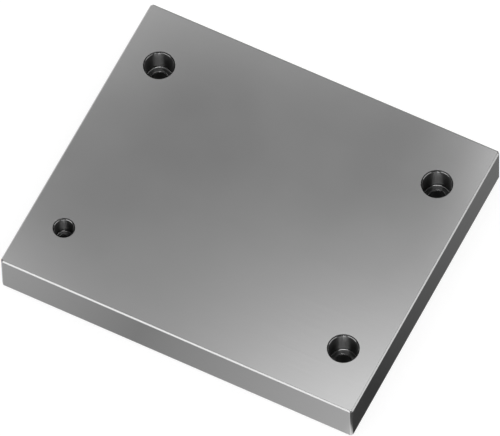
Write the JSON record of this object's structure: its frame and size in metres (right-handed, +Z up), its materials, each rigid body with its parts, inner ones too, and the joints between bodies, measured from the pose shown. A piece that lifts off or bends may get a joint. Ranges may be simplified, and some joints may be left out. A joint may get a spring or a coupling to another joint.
{
  "type": "support plate",
  "caption": "Ground steel support plate with chamfered edges and counterbored screw holes near its corners, the small one keying which way round it goes.",
  "frame": {"origin": "middle of the underside", "axes": "+X along the longer sides, +Y across the plate, +Z up out of the face with the counterbores; the small hole is in the corner at -X, -Y"},
  "size_m": [0.2, 0.17, 0.025],
  "materials": {
    "ground_steel": "surface ground, satin, edges broken"
  },
  "bodies": {
    "root": {"support_plate": "ground_steel"}
  },
  "joints": []
}
